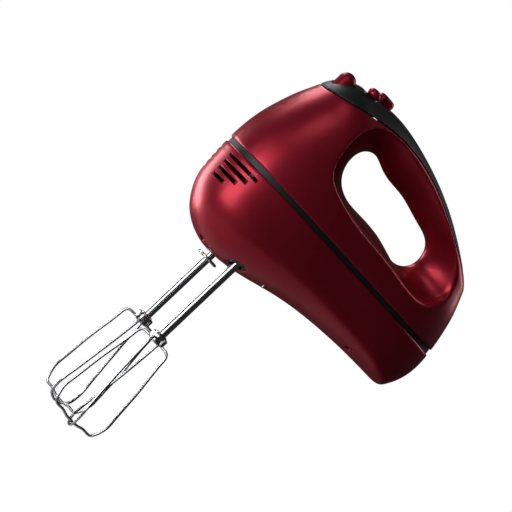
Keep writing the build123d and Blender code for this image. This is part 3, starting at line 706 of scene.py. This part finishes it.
def oval(name, half_long, half_wide, z0, z1, sides=64):
    """An upright oval prism at the turbo button."""
    straight = half_long - half_wide
    ring = []
    for k in range(sides):
        angle = 2 * pi * k / sides
        x = half_wide * cos(angle) + (straight if cos(angle) > 0 else -straight)
        ring.append((TURBO_X + x, half_wide * sin(angle)))
    return stack_of_rings(name, [[at(x, y, z) for x, y in ring] for z in (z0, z1)])


make_shells()


# ---------------------------------------------------------------- seam strip and heel

def make_seam_strip():
    """The black strip recessed between the shells: a ring with a soft outer edge."""
    form = body_form("seam_strip", 1.25, 6)
    combine(form, body_form("strip_inside", 3.6, 5), "DIFFERENCE")
    layer = box("strip_layer", (-120, -80, -SEAM_UNDER - 0.3), (HEEL_X + 9, 80, SEAM_OVER + 0.3))
    combine(form, layer, "INTERSECT")
    pick(form)
    bpy.ops.object.shade_smooth_by_angle(angle=radians(30))
    finish_piece(form, STOCK["black_band"], "housing", ["seam_band"])


make_seam_strip()


# ---------------------------------------------------------------- knobs

def make_knobs():
    """The red eject, speed and turbo knobs."""
    dome = [(EJECT_R * sin(radians(a)), EJECT_R * cos(radians(a))) for a in range(0, 91, 5)]
    skirt = [(EJECT_R, -6.0), (EJECT_R, -11.2), (EJECT_R - 0.4, -11.6),
             (3.3, -11.6), (3.3, -8.0), (0.0, -8.0)]
    eject = turned("eject_knob", dome + skirt, (EJECT[0], EJECT[1], EJECT_DOME_LEVEL))
    finish_piece(eject, RED, "ejector", ["eject_button"])

    crown = [(4.7 * sin(radians(a)) ** 0.85, 2.3 + 3.3 * cos(radians(a))) for a in range(0, 91, 6)]
    foot = [(4.5, 1.2), (3.9, 0.3), (3.4, 0.0), (1.6, 0.0), (1.6, 2.0), (0.0, 2.0)]
    speed = turned("speed_selector_knob", crown + foot, (SPEED_X, SPEED_START_Y, SEAT_LEVEL + SLIDE_GAP))
    finish_piece(speed, RED, "speed_control", ["speed_knob"])

    levels = [(0.35, 78.0), (0.0, 78.4), (0.0, 84.0), (0.0, 89.4), (0.3, 90.5), (0.9, 91.3),
              (1.8, 91.85), (3.0, 92.1), (4.0, 92.2)]
    rings = []
    for shrink, z in levels:
        half_wide = 4.75 - shrink
        ring = []
        for k in range(96):
            angle = 2 * pi * k / 96
            x = half_wide * cos(angle) + (2.0 if cos(angle) > 0 else -2.0)
            ring.append(at(TURBO_X + x, half_wide * sin(angle), z))
        rings.append(ring)
    turbo = stack_of_rings("turbo_knob", rings)
    pick(turbo)
    bpy.ops.object.shade_smooth_by_angle(angle=radians(40))
    finish_piece(turbo, RED, "turbo_control", ["turbo_button"])


make_knobs()


# ---------------------------------------------------------------- beaters

SHAFT_R = 2.9
HUB_TOP = -117.0
HUB_HEIGHT = 7.0
WIRE_R = 0.95
LOOP_LOW = -199.3
MID_LEVEL = (HUB_TOP + LOOP_LOW) / 2
TWIST = 25.0


def bent_wire(name, drop, phase, twist, y):
    """One wire loop: from the hub out, down, round and back, twisted evenly from top to bottom."""
    top = HUB_TOP - HUB_HEIGHT / 2 - drop
    low = LOOP_LOW + WIRE_R + drop
    half = [(3.2, top), (8.0, top - 0.2), (11.0, top - 0.7), (12.6, top - 2.6), (13.2, top - 6.0),
            (16.2, -153.0), (18.6, -177.0), (19.1, -183.5), (17.9, -189.5), (14.6, -194.8),
            (9.6, low + 1.4), (4.6, low + 0.15)]
    route = half + [(0.0, low)] + [(-x, z) for x, z in reversed(half)]
    steps = np.linalg.norm(np.diff(np.array(route), axis=0), axis=1)
    stops = np.concatenate([[0], np.cumsum(steps)])
    line = smooth_curve(stops, route)(np.linspace(0, stops[-1], 150))
    deselect()
    bpy.ops.curve.primitive_bezier_curve_add()
    piece = named(name)
    piece.data.splines.clear()
    spline = piece.data.splines.new("POLY")
    spline.points.add(len(line) - 1)
    for point, (u, z) in zip(spline.points, line):
        turn = radians(phase + twist * (MID_LEVEL - z) / (HUB_TOP - LOOP_LOW))
        place = at(BEATER_X + u * cos(turn), y + u * sin(turn), z)
        point.co = (*place, 1.0)
    piece.data.bevel_depth = WIRE_R * MM
    piece.data.bevel_resolution = 5
    piece.data.use_fill_caps = True
    pick(piece)
    bpy.ops.object.convert(target="MESH")
    piece = named(name)
    piece.location = (0, 0, 0)
    bpy.ops.object.shade_smooth_by_angle(angle=radians(40))
    return piece


def make_beater(side, y, phase, twist):
    """One beater: chromed shaft, pressed hub and two crossed wire loops."""
    body = side + "_beater"
    rod_profile = [(0.0, 0.0), (2.0, 0.0), (2.75, -0.55), (SHAFT_R, -1.3), (SHAFT_R, -30.0),
                   (SHAFT_R, -75.0), (SHAFT_R, -110.0), (SHAFT_R, -119.9), (2.5, -120.4), (0.0, -120.4)]
    shaft = turned(side + "_beater_rod", rod_profile, (BEATER_X, y, 0.0), steps=64)
    ears = box(side + "_ears", (BEATER_X - 0.8, y - 4.2, -35), (BEATER_X + 0.8, y + 4.2, -30))
    modify(ears, "BEVEL", {"width": 0.3 * MM, "segments": 2})
    shaft = join([shaft, ears], side + "_beater_rod")
    finish_piece(shaft, CHROME, body, [body + "_shaft"])

    sleeve = [(3.0, 0.3), (4.1, 0.0), (4.6, -0.6), (4.6, -2.4), (4.2, -3.2), (4.2, -4.2),
              (4.6, -5.0), (4.6, -6.4), (4.0, -HUB_HEIGHT), (3.0, -HUB_HEIGHT)]
    hub_profile = [(radius, HUB_TOP + height) for radius, height in sleeve]
    hub = turned(side + "_hub_sleeve", hub_profile, (BEATER_X, y, 0.0), steps=64)
    parts = [hub]
    for turn in (0, 90):
        deselect()
        bpy.ops.mesh.primitive_cube_add(size=1.0)
        jaw = named(side + "_hub_jaw")
        jaw.scale = Vector((12.2, 4.3, 5.6)) * MM
        apply_place(jaw)
        modify(jaw, "BEVEL", {"width": 0.9 * MM, "segments": 3})
        jaw.rotation_euler = (0, 0, radians(phase - twist / 2 + turn))
        jaw.location = at(BEATER_X, y, HUB_TOP - HUB_HEIGHT / 2)
        apply_place(jaw)
        parts.append(jaw)
    hub = join(parts, side + "_beater_pressed_hub")
    pick(hub)
    bpy.ops.object.shade_smooth_by_angle(angle=radians(35))
    finish_piece(hub, CHROME, body, [body + "_hub"])

    for number, turn, drop in ((1, 0, 0.0), (2, 90, 2 * WIRE_R + 0.15)):
        wire = bent_wire(side + "_wire_" + str(number), drop, phase + turn, twist, y)
        finish_piece(wire, CHROME, body, [body + "_loop_" + str(number)])


make_beater("left", -BEATER_Y, 62.0, TWIST)
make_beater("right", BEATER_Y, 50.0, -TWIST)

disc = [(SHAFT_R, 1.0), (6.6, 1.0), (7.6, 0.75), (8.0, 0.2),
        (8.0, -0.2), (7.6, -0.75), (6.6, -1.0), (SHAFT_R, -1.0)]
collar = turned("collar_disc", disc, (BEATER_X, BEATER_Y, -63.5))
finish_piece(collar, CHROME, "right_beater", ["right_beater_collar"])


# ---------------------------------------------------------------- the pieces that stay as they are

for entry in frame["record"]["subparts"]:
    kept = frame["nodes"][entry["node"]]
    kept.data.materials.clear()
    kept.data.materials.append(STOCK[entry["material_slot"]])


# ---------------------------------------------------------------- camera, floor and light

CAMERA_AZIMUTH = -25.0
CAMERA_ROLL = 46.6
CAMERA_DISTANCE = 1.35
VIEW_WIDTH = 0.3303
SENSOR = 36.0
AIM = at(0.0, 0.0, -39.5)


def make_camera():
    """A long lens level with the mixer, turned towards its nose and rolled over."""
    bpy.ops.object.camera_add()
    camera = bpy.context.object
    camera.name = "camera"
    camera.data.lens = SENSOR * CAMERA_DISTANCE / VIEW_WIDTH
    camera.data.sensor_width = SENSOR
    camera.data.clip_start = 0.01
    camera.data.clip_end = 50
    camera.data.dof.use_dof = False
    azimuth = radians(CAMERA_AZIMUTH)
    away = Vector((sin(azimuth), -cos(azimuth), 0.0))
    camera.location = AIM + away * CAMERA_DISTANCE
    upright = away.to_track_quat("Z", "Y").to_matrix().to_4x4()
    turn = upright @ Matrix.Rotation(radians(CAMERA_ROLL), 4, "Z")
    camera.rotation_euler = turn.to_euler()
    bpy.context.view_layer.update()
    bpy.context.scene.camera = camera


def soft_box(name, centre, target, width, height, power):
    """A rectangular light at centre, facing target."""
    bpy.ops.object.light_add(type="AREA", location=centre)
    light = bpy.context.object
    light.name = name
    light.data.shape = "RECTANGLE"
    light.data.size = width
    light.data.size_y = height
    light.data.energy = power
    light.rotation_euler = (Vector(centre) - Vector(target)).to_track_quat("Z", "Y").to_euler()


def make_stage():
    """A pale floor well below the mixer, a white surround and soft boxes at both sides."""
    floor_level = cad_box[0][2] - 0.22
    bpy.ops.mesh.primitive_circle_add(vertices=96, radius=0.42, fill_type="NGON",
                                      location=(AIM.x, 0.0, floor_level))
    floor = named("pale_floor")
    surface, tree, bsdf = material("matt_white_paper", {"Roughness": 0.9})
    tint(tree, bsdf, surface_noise(tree, 60.0), "#ececec", "#f2f2f2")
    floor.data.materials.append(surface)

    world = bpy.data.worlds.new("white_studio")
    bpy.context.scene.world = world
    world.use_nodes = True
    tree = world.node_tree
    tree.nodes.clear()
    seen = node(tree, "ShaderNodeBackground", {"Color": linear("#ffffff"), "Strength": 1.0})
    around = node(tree, "ShaderNodeBackground", {"Color": linear("#ffffff"), "Strength": 0.035})
    path = node(tree, "ShaderNodeLightPath")
    mix = node(tree, "ShaderNodeMixShader", links={
        0: path.outputs["Is Camera Ray"], 1: around.outputs[0], 2: seen.outputs[0]})
    node(tree, "ShaderNodeOutputWorld", links={"Surface": mix.outputs[0]})

    # the lights stand round the picture: its right, its top and the way to the camera
    turned_up = bpy.context.scene.camera.matrix_world.to_3x3()
    right, top, front = (turned_up.col[i].copy() for i in range(3))
    hub = at(25, 0, 10)
    opening = at(45, 0, 42)
    nose = at(-60, -20, 5)
    shafts = at(-14, 0, -85)
    soft_box("key_left", nose - right * 0.60 + top * 0.22 - front * 0.42, nose, 0.20, 0.55, 4.5)
    soft_box("rim_top", hub + top * 0.75 - right * 0.1 - front * 0.40, hub, 0.60, 0.20, 2.4)
    soft_box("edge_right", hub + right * 0.85 - front * 0.45, hub, 0.20, 0.80, 2.0)
    soft_box("fill_front", hub + front * 1.1 + top * 1.0 + right * 0.2, hub, 0.5, 0.5, 1.9)
    soft_box("grip_fill", opening + front * 0.66 - right * 0.50 + top * 0.22, opening, 0.40, 0.40, 3.2)
    soft_box("shaft_sheen", shafts + top * 0.30 - right * 0.22 + front * 0.22, shafts, 0.10, 0.16, 0.10)


make_camera()
make_stage()
bpy.context.scene.view_settings.view_transform = "Standard"
